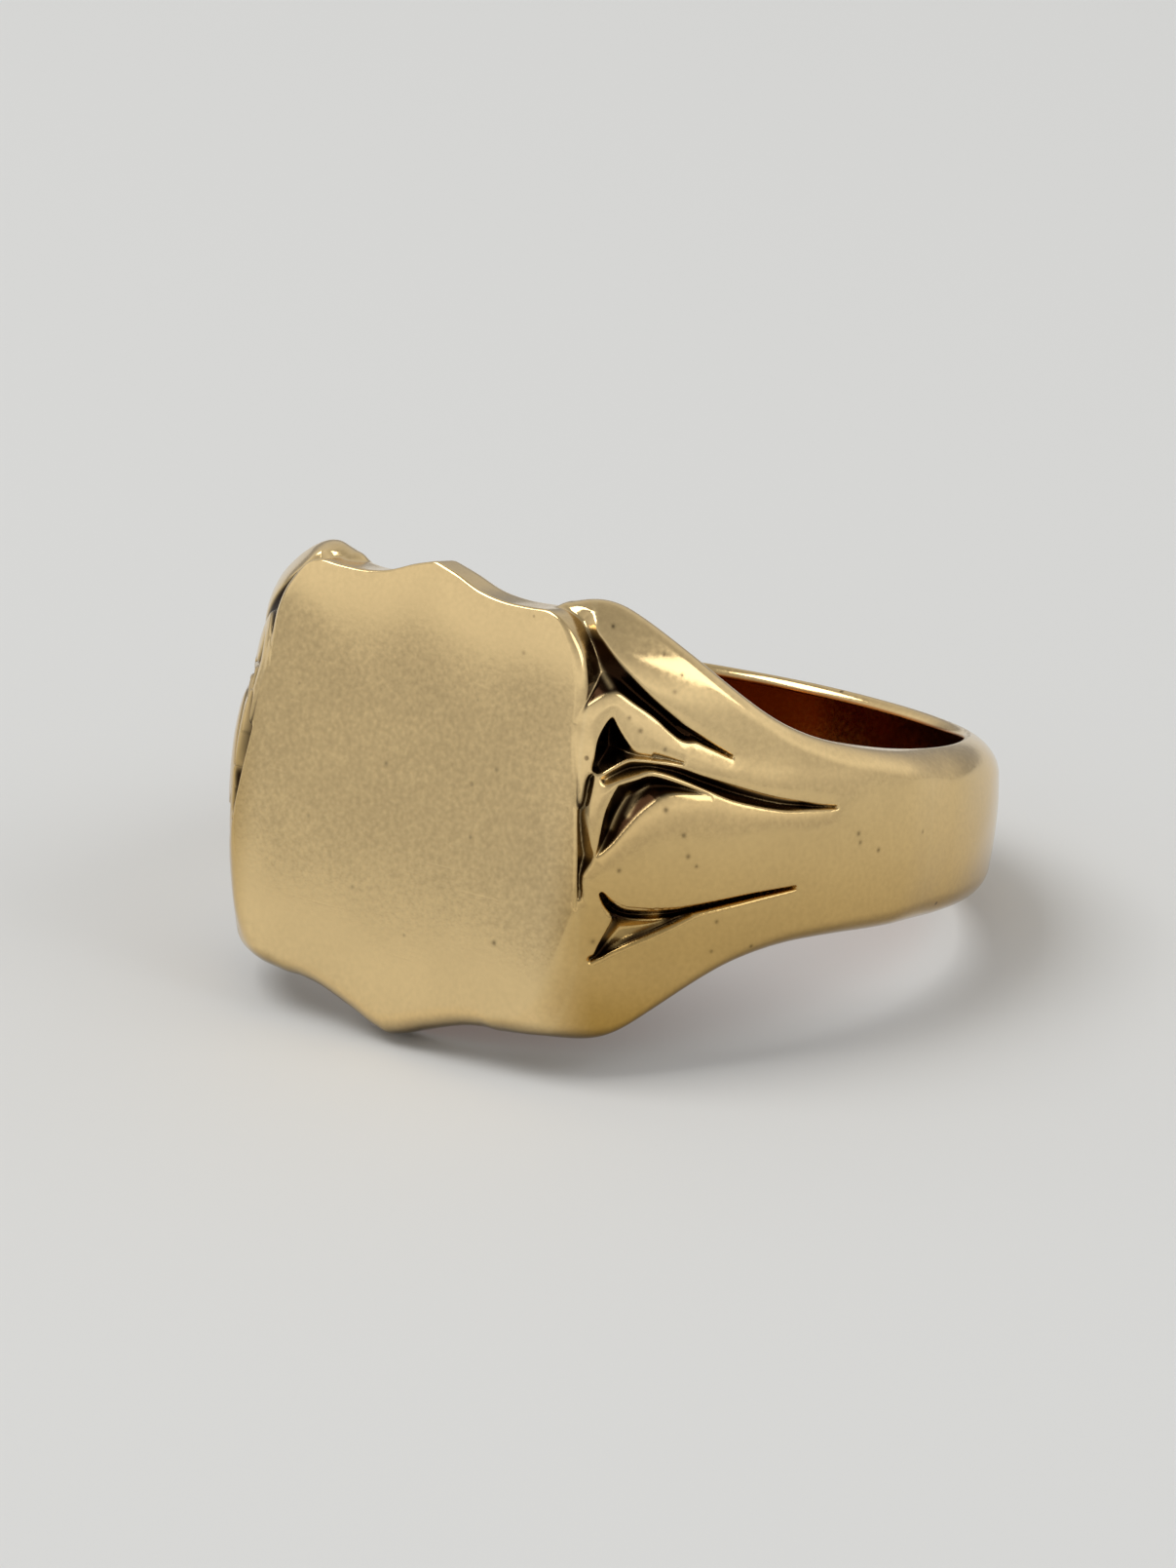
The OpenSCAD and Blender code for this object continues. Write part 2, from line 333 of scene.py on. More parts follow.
BRIGHT = [
    # width, strength, points
    (0.10, 0.95, [(44.7, 1.93), (46.3, 2.17), (48.1, 2.44), (50.1, 2.49)]),
    (0.06, 0.75, [(50.1, 2.49), (51.7, 2.42), (53.9, 2.33)]),
    (0.10, 0.95, [(45.6, 1.69), (47.4, 1.86), (49.0, 2.01), (50.9, 2.10)]),
    (0.05, 0.70, [(50.9, 2.10), (54.2, 1.87), (58.6, 1.66), (62.8, 1.50), (69.0, 1.31)]),
    (0.20, 0.85, [(45.2, 1.75), (44.75, 1.40), (44.5, 0.82), (44.9, 0.19), (45.2, -0.23)]),
    (0.06, 0.55, [(41.5, 5.50), (43.3, 5.00), (45.2, 4.38)]),
    (0.05, 0.40, [(40.6, 5.85), (41.9, 5.20), (43.0, 4.60)]),
    (0.16, 0.95, [(48.9, -2.72), (50.0, -2.38), (51.6, -2.22), (53.3, -2.03)]),
    (0.05, 0.55, [(46.3, 1.20), (46.1, 0.60), (46.0, 0.15)]),
    (0.05, 0.45, [(48.6, 1.45), (47.6, 0.95), (47.0, 0.45)]),
    (0.05, 0.35, [(50.6, 1.75), (49.4, 1.35), (48.5, 0.85)]),
]
for wd, st, pts in BRIGHT:
    d = seg_dist(_pu, _pw, line_uz(pts))
    _dark *= 1 - st * np.exp(-(d / wd) ** 2)
_c = np.array([(48.6, -2.86), (49.3, -2.32), (51.5, -2.09), (53.6, -1.92), (53.9, -2.04),
               (51.7, -2.40), (50.2, -2.66)])
_c[:, 0] = 15 * np.radians(_c[:, 0])
_dark *= 1 - 0.97 * smoothstep(0.03, -0.05, poly_sd(_pu, _pw, _c))
PATINA_AND_SHADE = Map2(_u0, _z0, _hu, blur(_dark, 0.015, _hu))


PITS_FACE = [(-0.78, 0.87, 0.08), (3.17, 1.45, 0.07), (3.58, 4.9, 0.07), (3.82, -3.42, 0.08),
             (-1.47, -2.92, 0.06), (0.6, -3.9, 0.05), (-3.4, -1.2, 0.05), (2.2, 3.3, 0.05)]
PITS_SHOULDER = [(52.5, 1.14, 0.09), (54.8, 0.47, 0.08), (48.1, -0.68, 0.07), (55.6, -0.13, 0.08),
                 (56.7, -0.4, 0.06), (45.0, 6.0, 0.07), (51.1, 5.40, 0.06), (53.2, 4.9, 0.06),
                 (52.4, 4.43, 0.08), (47.5, 3.6, 0.07), (48.9, 3.27, 0.08), (51.9, 2.8, 0.07),
                 (60.1, -1.98, 0.07), (64.9, -2.67, 0.07), (60.1, -2.86, 0.06), (46.4, -2.81, 0.08),
                 (77.1, 0.66, 0.08), (77.5, 0.40, 0.07), (80.4, 0.16, 0.07), (88.0, 0.6, 0.06)]


def smax(a, b, r):
    u = np.maximum(a + r, 0)
    v = np.maximum(b + r, 0)
    return np.minimum(np.maximum(a, b), -r) + np.sqrt(u * u + v * v)


def smin(a, b, r):
    u = np.maximum(r - a, 0)
    v = np.maximum(r - b, 0)
    return np.maximum(np.minimum(a, b), r) - np.sqrt(u * u + v * v)


def ring(x, y, z):
    """Below zero inside the gold."""
    ax = np.abs(x)
    rho = np.hypot(x, y)
    fz = fall(z)
    # gentle unevenness of hand-finished gold
    wob = (np.sin(1.31 * x + 0.7 * y + 1.9) * np.sin(1.13 * z + 0.9 * y - 0.4)
           + 0.6 * np.sin(2.3 * y - 1.7 * z + 0.8 * x + 2.2)) * 0.008
    qx, qy = ax - SWEEP_X, y - JOINT_Y
    q = np.hypot(qx, qy)
    w = smoothstep(-1.6, 0.8, y)
    bulge = 0.58 * smoothstep(2.4, 5.4, z)
    out = (1 - w) * (q - (SWEEP_R - fz + bulge)) + w * (rho - (CROWN - 0.14 - fz)) + wob
    u = SWEEP_R * np.arctan2(qx, -qy)
    cut = CARVE(u, z) * (y < 0)
    out = out + cut
    tz = np.interp(y, _yy, TOP_Z) - 0.42 * smoothstep(5.6, 3.6, ax) * smoothstep(-8.0, -9.2, y)
    top = (z - tz) * np.interp(y, _yy, TOP_C)
    low = (-z - np.interp(y, _yy, LOW_Z)) * np.interp(y, _yy, LOW_C)
    back = smoothstep(-4.0, 3.0, y)
    band = smax(out, top, 0.62 + 0.38 * back)
    band = smax(band, low, 0.6 + 0.35 * back)
    horn = np.where(y < -3, 3.5 - ax, -9.0)
    band = smax(band, horn, 0.5)
    s = SHIELD(ax, z)
    soft = smoothstep(-1.2, -4.0, z)
    cheek = smoothstep(4.3, 5.3, ax) * smoothstep(0.5, 3.0, z) * smoothstep(6.4, 5.5, z)
    head = np.maximum(s, y + 2.0)
    f = smin(head, band, 0.07 + 0.30 * soft)
    face = (-FACE + CROWN_MAP(ax, z)) - y
    f = smax(f, face, 0.09 + 0.18 * cheek + 0.55 * soft)
    rim = 0.13 + 0.27 * smoothstep(4.0, 8.5, y) + 0.67 * smoothstep(-6.0, -9.2, y) * (z > 0)
    return smax(f, BORE - rho, rim)


def nets(fn, lo, hi, h):
    """Surface nets over a sparse set of blocks; each vertex sits at the mean of its cell's edge crossings."""
    lo = np.asarray(lo, float)
    nb = np.ceil((np.asarray(hi, float) - lo) / (8 * h)).astype(int)
    N = nb * 8 + 1
    g = [lo[a] + np.arange(nb[a] + 1) * 8 * h for a in range(3)]
    X, Y, Z = np.meshgrid(*g, indexing="ij")
    V = fn(X, Y, Z)
    c = np.stack([V[i:i + nb[0], j:j + nb[1], k:k + nb[2]]
                  for i in (0, 1) for j in (0, 1) for k in (0, 1)], -1)
    act = (c.min(-1) < 0) & (c.max(-1) > 0) | (np.abs(c).min(-1) < 8 * h * 1.15)
    B = np.argwhere(act)
    ids, pos = [], []
    cor = []
    off = np.arange(9)
    for s in range(0, len(B), 1500):
        b = B[s:s + 1500]
        gx = (lo[0] + (b[:, 0, None] * 8 + off) * h)[:, :, None, None]
        gy = (lo[1] + (b[:, 1, None] * 8 + off) * h)[:, None, :, None]
        gz = (lo[2] + (b[:, 2, None] * 8 + off) * h)[:, None, None, :]
        gx, gy, gz = np.broadcast_arrays(gx, gy, gz)
        v = fn(gx, gy, gz)
        c8 = np.stack([v[:, i:i + 8, j:j + 8, k:k + 8]
                       for i in (0, 1) for j in (0, 1) for k in (0, 1)], -1)
        neg = c8 < 0
        m_ = neg.any(-1) & ~neg.all(-1)
        w_ = np.argwhere(m_)
        cv = c8[m_]
        ijk = b[w_[:, 0]] * 8 + w_[:, 1:]
        ids.append(ijk)
        cor.append(cv)
    ijk = np.concatenate(ids)
    cv = np.concatenate(cor)
    key = (ijk[:, 0] * N[1] + ijk[:, 1]) * N[2] + ijk[:, 2]
    order = np.argsort(key)
    ijk, cv, key = ijk[order], cv[order], key[order]
    corner = np.array([(i, j, k) for i in (0, 1) for j in (0, 1) for k in (0, 1)], float)
    acc = np.zeros((len(cv), 3))
    cnt = np.zeros(len(cv))
    for a in range(8):
        for bit in (4, 2, 1):
            b = a | bit
            if b == a:
                continue
            va, vb = cv[:, a], cv[:, b]
            m_ = (va < 0) != (vb < 0)
            t = np.where(m_, va / np.where(m_, va - vb, 1), 0)
            acc += m_[:, None] * (corner[a] + t[:, None] * (corner[b] - corner[a]))
            cnt += m_
    P = lo + (ijk + acc / cnt[:, None]) * h

    def look(d):
        k2 = ((ijk[:, 0] + d[0]) * N[1] + ijk[:, 1] + d[1]) * N[2] + ijk[:, 2] + d[2]
        i2 = np.searchsorted(key, k2)
        i2 = np.minimum(i2, len(key) - 1)
        return np.where(key[i2] == k2, i2, -1)

    me = np.arange(len(key))
    faces = []
    for bit, (d0, d1, d3) in ((4, ((0, -1, -1), (0, 0, -1), (0, -1, 0))),
                              (2, ((-1, 0, -1), (-1, 0, 0), (0, 0, -1))),
                              (1, ((-1, -1, 0), (0, -1, 0), (-1, 0, 0)))):
        a_in = cv[:, 0] < 0
        m_ = a_in != (cv[:, bit] < 0)
        quad = np.stack([look(d0), look(d1), me, look(d3)], -1)[m_]
        flip = ~a_in[m_]
        quad[flip] = quad[flip][:, ::-1]
        faces.append(quad)
    Q = np.concatenate(faces)
    Q = Q[(Q >= 0).all(1)]
    return P, Q


def grad(fn, P, e=0.004):
    g = np.empty_like(P)
    for a in range(3):
        d = np.zeros(3)
        d[a] = e
        A, B_ = P + d, P - d
        g[:, a] = (fn(A[:, 0], A[:, 1], A[:, 2]) - fn(B_[:, 0], B_[:, 1], B_[:, 2])) / (2 * e)
    return g


def project(fn, P, h, steps=3):
    P0 = P.copy()
    for _ in range(steps):
        f = fn(P[:, 0], P[:, 1], P[:, 2])
        g = grad(fn, P)
        gg = np.maximum((g * g).sum(1), 0.05)
        st = -(f / gg)[:, None] * g
        ln = np.linalg.norm(st, axis=1)
        st *= np.minimum(1, 0.6 * h / np.maximum(ln, 1e-12))[:, None]
        P = P + st
        d = P - P0
        ln = np.linalg.norm(d, axis=1)
        P = P0 + d * np.minimum(1, 1.2 * h / np.maximum(ln, 1e-12))[:, None]
    return P


import time
_t0 = time.time()
H = 0.052
P, Q = nets(ring, (-11.6, -11.9, -7.5), (11.6, 11.6, 7.5), H)
P = project(ring, P, H)
print("nets", len(P), len(Q), round(time.time() - _t0, 1), "s")


def new_object(name, verts, faces):
    me = bpy.data.meshes.new(name)
    me.from_pydata(verts, [], faces)
    ob = bpy.data.objects.new(name, me)
    scene.collection.objects.link(ob)
    return ob


def fast_mesh(name, verts, polys):
    """Mesh from numpy arrays whose faces all have the same number of corners."""
    me = bpy.data.meshes.new(name)
    n = polys.shape[1]
    me.vertices.add(len(verts))
    me.vertices.foreach_set("co", verts.astype(np.float32).ravel())
    me.loops.add(polys.size)
    me.loops.foreach_set("vertex_index", polys.astype(np.int32).ravel())
    me.polygons.add(len(polys))
    me.polygons.foreach_set("loop_start", np.arange(0, polys.size, n, dtype=np.int32))
    me.update(calc_edges=True)
    me.validate()
    return me


tri = np.vstack([Q[:, [0, 1, 2]], Q[:, [0, 2, 3]]])
full = bpy.data.objects.new("ring_full", fast_mesh("ring_full", P, tri))
scene.collection.objects.link(full)


# ---------------------------------------------------------------- the cutters
def box_solid(lo, hi):
    (x0, y0, z0), (x1, y1, z1) = lo, hi
    v = [(x0, y0, z0), (x1, y0, z0), (x1, y1, z0), (x0, y1, z0),
         (x0, y0, z1), (x1, y0, z1), (x1, y1, z1), (x0, y1, z1)]
    f = [(0, 3, 2, 1), (4, 5, 6, 7), (0, 1, 5, 4), (1, 2, 6, 5), (2, 3, 7, 6), (3, 0, 4, 7)]
    return v, f


def prism_solid(grow, y0, y1, out=0.0):
    h = catmull(SHIELD_HALF, 6)
    r = np.array([(q[0] * (1 + grow / 6.4), q[1] * (1 + (grow + out) / 6.95)) for q in h])
    loop = np.vstack([r, [(-q[0], q[1]) for q in r[-2:0:-1]]])
    n = len(loop)
    v = [(q[0], y0, q[1]) for q in loop] + [(q[0], y1, q[1]) for q in loop]
    f = [tuple(range(n)), tuple(range(2 * n - 1, n - 1, -1))]
    f += [(i, i + n, (i + 1) % n + n, (i + 1) % n) for i in range(n)]
    return v, f


def boolean(src, solid, op):
    v, f = solid
    cut = new_object("cutter", v, f)
    bm = bmesh.new()
    bm.from_mesh(cut.data)
    bmesh.ops.recalc_face_normals(bm, faces=bm.faces)
    bmesh.ops.triangulate(bm, faces=bm.faces)
    bm.to_mesh(cut.data)
    bm.free()
    mod = src.modifiers.new("b", "BOOLEAN")
    mod.operation, mod.solver, mod.object = op, "MANIFOLD", cut
    dg = bpy.context.evaluated_depsgraph_get()
    me = bpy.data.meshes.new_from_object(src.evaluated_get(dg))
    src.modifiers.remove(mod)
    bpy.data.objects.remove(cut)
    ob = bpy.data.objects.new("piece", me)
    scene.collection.objects.link(ob)
    return ob


def drop(*obs):
    for o in obs:
        me = o.data
        bpy.data.objects.remove(o)
        bpy.data.meshes.remove(me)


BIG = 40.0
PY = -FACE + 0.8                                    # back of the plate
head = boolean(full, prism_solid(0, -BIG, -3.0, 0.6), "INTERSECT")
headg = boolean(full, prism_solid(SOLDER, -BIG, -3.0, 0.6), "INTERSECT")
rest = boolean(full, prism_solid(SOLDER, -BIG, -3.0, 0.6), "DIFFERENCE")
made = {}
made["signet_plate"] = boolean(head, box_solid((-BIG, -BIG, -BIG), (BIG, PY, BIG)), "INTERSECT")
made["plate_solder"] = boolean(head, box_solid((-BIG, PY, -BIG), (BIG, PY + SOLDER, BIG)), "INTERSECT")
made["head_block"] = boolean(head, box_solid((-BIG, PY + SOLDER, -BIG), (BIG, 0, BIG)), "INTERSECT")
made["shoulder_solder"] = boolean(headg, prism_solid(0, -BIG - 1, -2.0, 0.6), "DIFFERENCE")
ja, jb = JOINT_Y - SOLDER / 2, JOINT_Y + SOLDER / 2
made["shoulder_left"] = boolean(rest, box_solid((-BIG, -BIG, -BIG), (0, ja, BIG)), "INTERSECT")
made["shoulder_right"] = boolean(rest, box_solid((0, -BIG, -BIG), (BIG, ja, BIG)), "INTERSECT")
made["shank_solder"] = boolean(rest, box_solid((-BIG, ja, -BIG), (BIG, jb, BIG)), "INTERSECT")
made["shank_left"] = boolean(rest, box_solid((-BIG, jb, -BIG), (-SOLDER / 2, BIG, BIG)), "INTERSECT")
made["shank_right"] = boolean(rest, box_solid((SOLDER / 2, jb, -BIG), (BIG, BIG, BIG)), "INTERSECT")
made["sizing_seam"] = boolean(rest, box_solid((-SOLDER / 2, jb, -BIG), (SOLDER / 2, BIG, BIG)), "INTERSECT")
drop(full, head, headg, rest)
print("pieces", {k: len(o.data.polygons) for k, o in made.items()}, round(time.time() - _t0, 1), "s")


# ----------------------------------------------------------------- materials
def gold_material(name, tint, seed):
    mat = bpy.data.materials.new(name)
    mat.use_nodes = True
    nt = mat.node_tree
    for n in list(nt.nodes):
        nt.nodes.remove(n)
    N = nt.nodes.new
    L = nt.links.new
    out = N("ShaderNodeOutputMaterial")
    bs = N("ShaderNodeBsdfPrincipled")
    L(bs.outputs[0], out.inputs[0])
    bs.inputs["Metallic"].default_value = 1.0
    tc = N("ShaderNodeTexCoord")
    # slow colour drift
    n1 = N("ShaderNodeTexNoise")
    n1.inputs["Scale"].default_value = 420.0
    n1.inputs["Detail"].default_value = 4.0
    L(tc.outputs["Object"], n1.inputs["Vector"])
    r1 = N("ShaderNodeValToRGB")
    r1.color_ramp.elements[0].position = 0.3
    r1.color_ramp.elements[1].position = 0.72
    r1.color_ramp.elements[0].color = (*[c * 0.95 for c in tint], 1)
    r1.color_ramp.elements[1].color = (*[min(1, c * 1.04) for c in tint], 1)
    L(n1.outputs["Fac"], r1.inputs[0])
    n3 = N("ShaderNodeTexNoise")
    n3.inputs["Scale"].default_value = 6500.0
    n3.inputs["Detail"].default_value = 5.0
    L(tc.outputs["Object"], n3.inputs["Vector"])
    gr = N("ShaderNodeMapRange")
    gr.inputs["From Min"].default_value = 0.3
    gr.inputs["From Max"].default_value = 0.7
    gr.inputs["To Min"].default_value = 0.94
    gr.inputs["To Max"].default_value = 1.05
    L(n3.outputs["Fac"], gr.inputs["Value"])
    grain = N("ShaderNodeVectorMath")
    grain.operation = "SCALE"
    L(r1.outputs[0], grain.inputs[0])
    L(gr.outputs[0], grain.inputs["Scale"])
    # small dark pits
    vo = N("ShaderNodeTexVoronoi")
    vo.inputs["Scale"].default_value = 700.0
    vo.inputs["Randomness"].default_value = 1.0
    L(tc.outputs["Object"], vo.inputs["Vector"])
    n2 = N("ShaderNodeTexNoise")
    n2.inputs["Scale"].default_value = 300.0
    L(tc.outputs["Object"], n2.inputs["Vector"])
    pr = N("ShaderNodeMapRange")
    pr.inputs["From Min"].default_value = 0.035
    pr.inputs["From Max"].default_value = 0.065
    pr.inputs["To Min"].default_value = 0.75
    pr.inputs["To Max"].default_value = 0.0
    L(vo.outputs["Distance"], pr.inputs["Value"])
    gate = N("ShaderNodeMapRange")
    gate.inputs["From Min"].default_value = 0.54
    gate.inputs["From Max"].default_value = 0.60
    L(n2.outputs["Fac"], gate.inputs["Value"])
    mul = N("ShaderNodeMath")
    mul.operation = "MULTIPLY"
    L(pr.outputs[0], mul.inputs[0])
    L(gate.outputs[0], mul.inputs[1])
    mix = N("ShaderNodeMix")
    mix.data_type = "RGBA"
    L(mul.outputs[0], mix.inputs["Factor"])
    L(grain.outputs[0], mix.inputs["A"])
    mix.inputs["B"].default_value = (0.12, 0.07, 0.03, 1)
    # darkens towards near black: dark deposit and pits, plus painted shade in the cuts and along the lower edge
    pa = N("ShaderNodeAttribute")
    pa.attribute_name = "patina_and_shade"
    # painted shade: multiplies the bore's inner surface dark orange-brown
    inn = N("ShaderNodeAttribute")
    inn.attribute_name = "bore_shade"
    mixi = N("ShaderNodeMix")
    mixi.data_type = "RGBA"
    mixi.blend_type = "MULTIPLY"
    L(inn.outputs["Fac"], mixi.inputs["Factor"])
    L(mix.outputs["Result"], mixi.inputs["A"])
    mixi.inputs["B"].default_value = (0.40, 0.17, 0.04, 1)
    # painted shade: multiplies the lower shoulders and shank darker and browner
    und = N("ShaderNodeAttribute")
    und.attribute_name = "underside_shade"
    mixu = N("ShaderNodeMix")
    mixu.data_type = "RGBA"
    mixu.blend_type = "MULTIPLY"
    L(und.outputs["Fac"], mixu.inputs["Factor"])
    L(mixi.outputs["Result"], mixu.inputs["A"])
    mixu.clamp_factor = False
    mixu.inputs["B"].default_value = (0.68, 0.61, 0.44, 1)
    mixp = N("ShaderNodeMix")
    mixp.data_type = "RGBA"
    L(pa.outputs["Fac"], mixp.inputs["Factor"])
    L(mixu.outputs["Result"], mixp.inputs["A"])
    mixp.inputs["B"].default_value = (0.020, 0.009, 0.004, 1)
    L(mixp.outputs["Result"], bs.inputs["Base Color"])
    # roughness
    rr = N("ShaderNodeMapRange")
    rr.inputs["From Min"].default_value = 0.3
    rr.inputs["From Max"].default_value = 0.7
    rr.inputs["To Min"].default_value = 0.10
    rr.inputs["To Max"].default_value = 0.19
    L(n3.outputs["Fac"], rr.inputs["Value"])
    L(rr.outputs[0], bs.inputs["Roughness"])
    mp = N("ShaderNodeMapping")
    mp.inputs["Rotation"].default_value = (0.2, 0.85, 0.25)
    mp.inputs["Scale"].default_value = (260.0, 9000.0, 9000.0)
    L(tc.outputs["Object"], mp.inputs["Vector"])
    n4 = N("ShaderNodeTexNoise")
    n4.inputs["Scale"].default_value = 1.0
    n4.inputs["Detail"].default_value = 1.0
    L(mp.outputs[0], n4.inputs["Vector"])
    sc = N("ShaderNodeMapRange")
    sc.inputs["From Min"].default_value = 0.75
    sc.inputs["From Max"].default_value = 0.85
    sc.inputs["To Min"].default_value = 0.0
    sc.inputs["To Max"].default_value = 0.6
    L(n4.outputs["Fac"], sc.inputs["Value"])
    hs = N("ShaderNodeMath")
    hs.operation = "SUBTRACT"
    L(n3.outputs["Fac"], hs.inputs[0])
    L(sc.outputs[0], hs.inputs[1])
    # bump: fine grain
    bp = N("ShaderNodeBump")
    bp.inputs["Strength"].default_value = 0.20
    bp.inputs["Distance"].default_value = 0.000008
    L(hs.outputs[0], bp.inputs["Height"])
    L(bp.outputs[0], bs.inputs["Normal"])
    return mat


gold = gold_material("gold", (0.84, 0.62, 0.31), 1)
gold_solder = gold_material("gold_solder", (0.85, 0.635, 0.325), 2)

# ----------------------------------------------------------- finish the pieces
for name, ob in made.items():
    me = ob.data
    ob.name = name + "_gold"
    me.name = ob.name
    nv, nl, nf = len(me.vertices), len(me.loops), len(me.polygons)
    co = np.empty(nv * 3, np.float32)
    me.vertices.foreach_get("co", co)
    co = co.reshape(-1, 3).astype(float)
    g = grad(ring, co)
    g /= np.maximum(np.linalg.norm(g, axis=1), 1e-9)[:, None]
    on = np.abs(ring(co[:, 0], co[:, 1], co[:, 2])) < 0.03
    fn_ = np.empty(nf * 3, np.float32)
    me.polygons.foreach_get("normal", fn_)
    fn_ = fn_.reshape(-1, 3)
    vi = np.empty(nl, np.int32)
    me.loops.foreach_get("vertex_index", vi)
    tot = np.empty(nf, np.int32)
    me.polygons.foreach_get("loop_total", tot)
    fi = np.repeat(np.arange(nf), tot)
    dot = (g[vi] * fn_[fi]).sum(1)
    skin = on[vi] & (dot > 0.35)
    nrm = np.where(skin[:, None], g[vi], fn_[fi])
    world = co @ LAY.T + LAY_T
    me.vertices.foreach_set("co", (world * 1e-3).astype(np.float32).ravel())
    me.polygons.foreach_set("use_smooth", np.ones(nf, bool))
    me.update()
    me.normals_split_custom_set((nrm @ LAY.T).astype(np.float32).tolist())
    x, y, z = co.T
    ax = np.abs(x)
    u = SWEEP_R * np.arctan2(ax - SWEEP_X, -(y - JOINT_Y))
    rho = np.hypot(x, y)
    # painted shade: the inside of the bore is marked for a dark orange-brown tint
    bore_shade = smoothstep(BORE + 0.035, BORE + 0.005, rho)
    # dark deposit and pits, with painted shade in the cuts
    dirt_and_shade = PATINA_AND_SHADE(u, z) * smoothstep(4.35, 4.75, ax) * (y < 0) * (rho > 10.2)
    dirt_and_shade = dirt_and_shade * smoothstep(-0.03, 0.03, SHIELD(ax, z) + 0.0 * y)
    # painted shade: the lower edge is darkened where it faces the shadowed floor
    lower_edge_shade = np.minimum(SHIELD(ax, z), (-z - np.interp(y, _yy, LOW_Z)) * np.interp(y, _yy, LOW_C))
    lower_edge_shade = smoothstep(-0.50, 0.02, lower_edge_shade) * smoothstep(-0.8, -2.0, z) * smoothstep(9.0, 3.0, y) * (1 - bore_shade)
    dirt_and_shade = np.maximum(dirt_and_shade, 0.62 * lower_edge_shade)
    for pf, pz, pr_ in PITS_SHOULDER:
        d2 = (u - 15 * math.radians(pf)) ** 2 + (z - pz) ** 2
        k = 0.45 + 0.4 * ((pf * 7.31) % 1.0)
        dirt_and_shade = np.maximum(dirt_and_shade, k * np.exp(-d2 / (0.85 * pr_) ** 2) * (x > 0) * (rho > 10.2) * (SHIELD(ax, z) > 0.05))
    for pf, pz, pr_ in PITS_FACE:
        d2 = (x - pf) ** 2 + (z - pz) ** 2
        k = 0.35 + 0.4 * ((pf * 7.31) % 1.0)
        dirt_and_shade = np.maximum(dirt_and_shade, k * np.exp(-d2 / (0.85 * pr_) ** 2) * (y < -11.0))
    at = me.attributes.new("patina_and_shade", "FLOAT", "POINT")
    at.data.foreach_set("value", np.clip(dirt_and_shade, 0, 1).astype(np.float32))
    at = me.attributes.new("bore_shade", "FLOAT", "POINT")
    at.data.foreach_set("value", bore_shade.astype(np.float32))
    # painted shade: darker towards the bottom of the shoulders and shank, away from the bore
    underside_shade = (smoothstep(4.2, -3.2, z) + 0.35 * smoothstep(-3.4, -5.4, z)) * (1 - bore_shade)
    underside_shade = underside_shade * smoothstep(5.2, 6.8, ax + np.maximum(y, 0))
    at = me.attributes.new("underside_shade", "FLOAT", "POINT")
    at.data.foreach_set("value", underside_shade.astype(np.float32))
    me.materials.clear()
    solder = name in ("plate_solder", "shoulder_solder", "shank_solder", "sizing_seam")
    me.materials.append(gold_solder if solder else gold)
    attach(ob, "root")
    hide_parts(name)
print("finished", round(time.time() - _t0, 1), "s")

# -------------------------------------------------------------------- the set
bpy.ops.mesh.primitive_plane_add(size=0.6, location=(0, 0, 0))
floor = bpy.context.object
floor.name = "floor"
fm = bpy.data.materials.new("floor")
fm.use_nodes = True
fb = fm.node_tree.nodes["Principled BSDF"]
fb.inputs["Base Color"].default_value = (0.70, 0.70, 0.685, 1)
fb.inputs["Roughness"].default_value = 0.9
floor.data.materials.append(fm)

world_ = bpy.data.worlds.new("world")
scene.world = world_
world_.use_nodes = True
wt = world_.node_tree
bg = wt.nodes["Background"]
wc = wt.nodes.new("ShaderNodeTexCoord")
sep = wt.nodes.new("ShaderNodeSeparateXYZ")
wt.links.new(wc.outputs["Generated"], sep.inputs[0])
front = wt.nodes.new("ShaderNodeValToRGB")
rear = wt.nodes.new("ShaderNodeValToRGB")


def ramp(node, stops):
    el = node.color_ramp.elements
    while len(el) > 1:
        el.remove(el[-1])
    el[0].position, el[0].color = stops[0][0], (*stops[0][1], 1)
    for p, c in stops[1:]:
        e = el.new(p)
        e.color = (*c, 1)


def grey(v, warm=0.0):
    return (v * (1 + warm), v, v * (1 - warm))


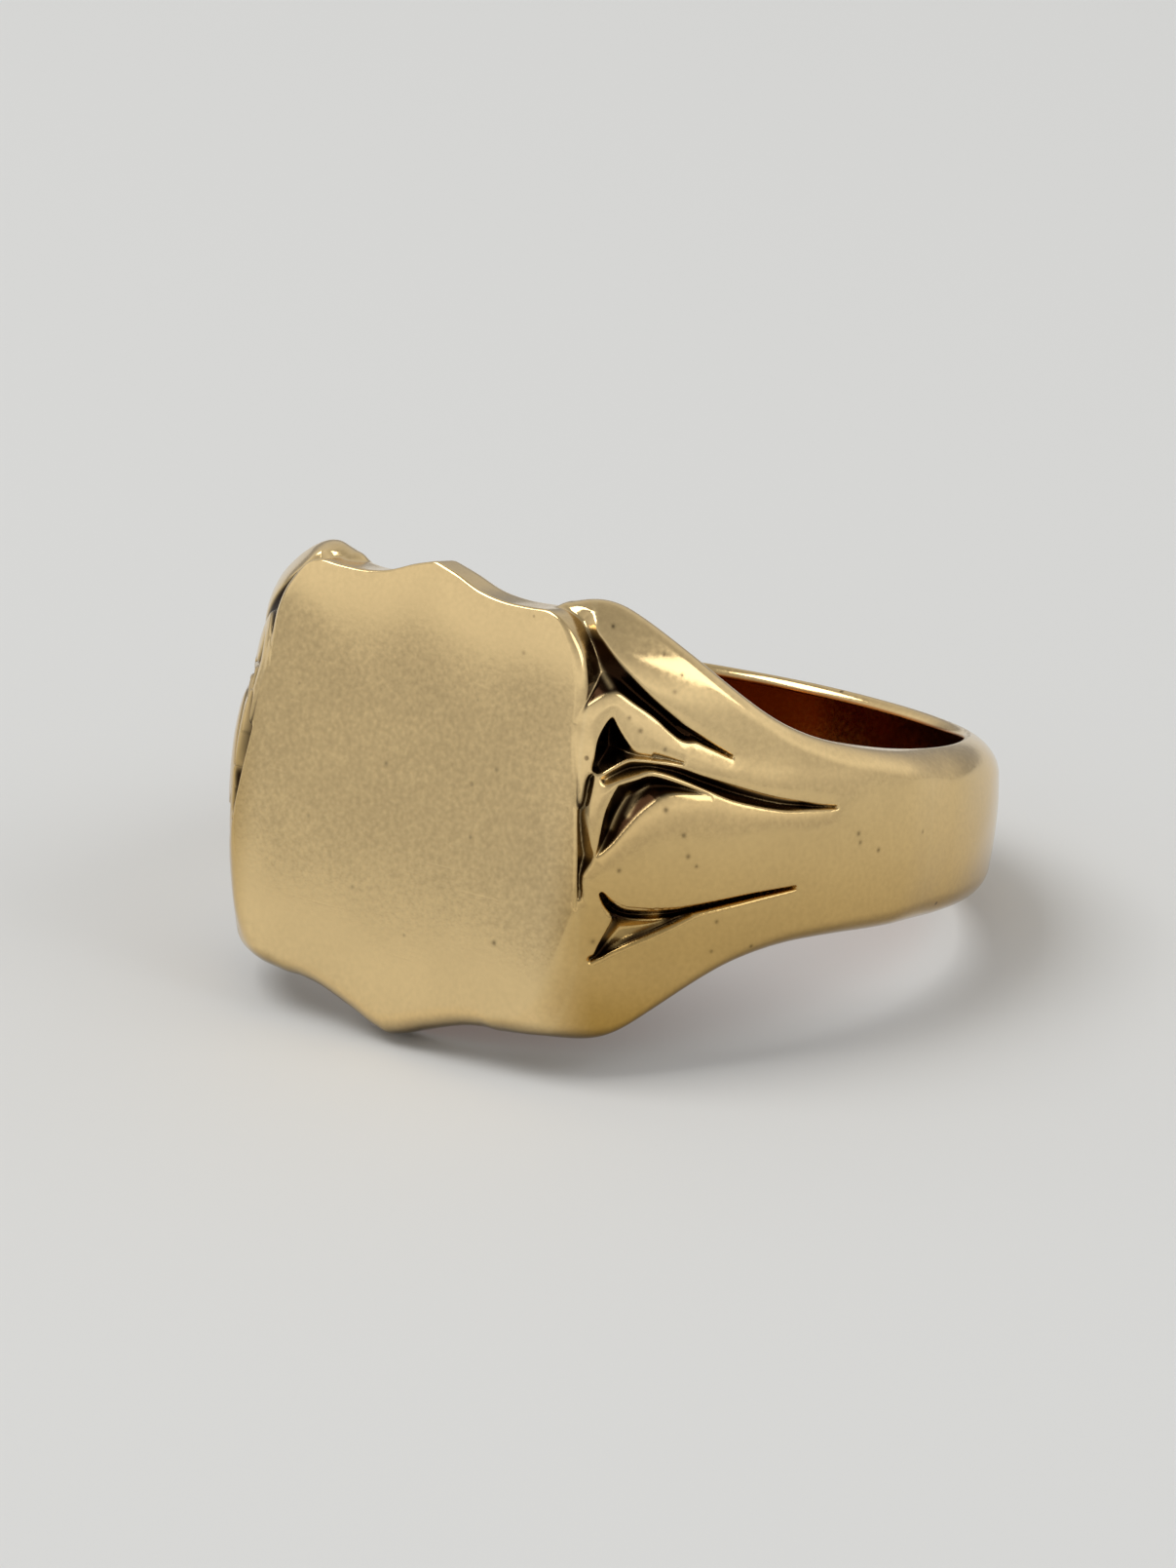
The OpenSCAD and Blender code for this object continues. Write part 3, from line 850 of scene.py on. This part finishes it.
ramp(front, [(0.0, grey(0.70)), (0.075, grey(0.72)), (0.095, grey(1.20)), (0.35, grey(1.25)),
             (0.75, grey(0.66)), (1.0, grey(0.55))])
ramp(rear, [(0.0, grey(0.50)), (0.12, grey(0.52)), (0.32, grey(0.85)), (0.6, grey(0.85)), (1.0, grey(0.50))])
wt.links.new(sep.outputs["Z"], front.inputs[0])
wt.links.new(sep.outputs["Z"], rear.inputs[0])
side = wt.nodes.new("ShaderNodeMapRange")
side.interpolation_type = "SMOOTHSTEP"
side.inputs["From Min"].default_value = 0.50
side.inputs["From Max"].default_value = 0.90
dot = wt.nodes.new("ShaderNodeVectorMath")
dot.operation = "DOT_PRODUCT"
dot.inputs[1].default_value = (-0.58, 0.81, 0.0)
wt.links.new(wc.outputs["Generated"], dot.inputs[0])
rside = wt.nodes.new("ShaderNodeValToRGB")
ramp(rside, [(0.0, grey(0.86)), (0.10, grey(0.92)), (0.30, grey(1.30)), (0.75, grey(0.70)), (1.0, grey(0.55))])
wt.links.new(sep.outputs["Z"], rside.inputs[0])
rmap = wt.nodes.new("ShaderNodeMapRange")
rmap.interpolation_type = "SMOOTHSTEP"
rmap.inputs["From Min"].default_value = -0.20
rmap.inputs["From Max"].default_value = 0.25
wt.links.new(sep.outputs["X"], rmap.inputs["Value"])
fm_ = wt.nodes.new("ShaderNodeMix")
fm_.data_type = "RGBA"
wt.links.new(rmap.outputs[0], fm_.inputs["Factor"])
wt.links.new(front.outputs[0], fm_.inputs["A"])
wt.links.new(rside.outputs[0], fm_.inputs["B"])
wm = wt.nodes.new("ShaderNodeMix")
wm.data_type = "RGBA"
wt.links.new(dot.outputs["Value"], side.inputs["Value"])
wt.links.new(side.outputs[0], wm.inputs["Factor"])
wt.links.new(fm_.outputs["Result"], wm.inputs["A"])
wt.links.new(rear.outputs[0], wm.inputs["B"])
wt.links.new(wm.outputs["Result"], bg.inputs[0])
bg.inputs[1].default_value = 0.68


def area(name, loc, size, power, color=(1, 1, 1), target=(0, 0, 0.006)):
    ld = bpy.data.lights.new(name, "AREA")
    ld.shape = "RECTANGLE"
    ld.size, ld.size_y = size
    ld.energy = power
    ld.color = color
    lo_ = bpy.data.objects.new(name, ld)
    scene.collection.objects.link(lo_)
    from mathutils import Vector
    d = Vector(target) - Vector(loc)
    lo_.rotation_euler = d.to_track_quat("-Z", "Y").to_euler()
    lo_.location = loc
    return lo_


area("key", (-0.35, -0.25, 0.75), (0.5, 0.5), 3.3)
area("fill", (0.6, 0.1, 0.5), (0.4, 0.4), 0.8)
scene.view_settings.view_transform = "Standard"
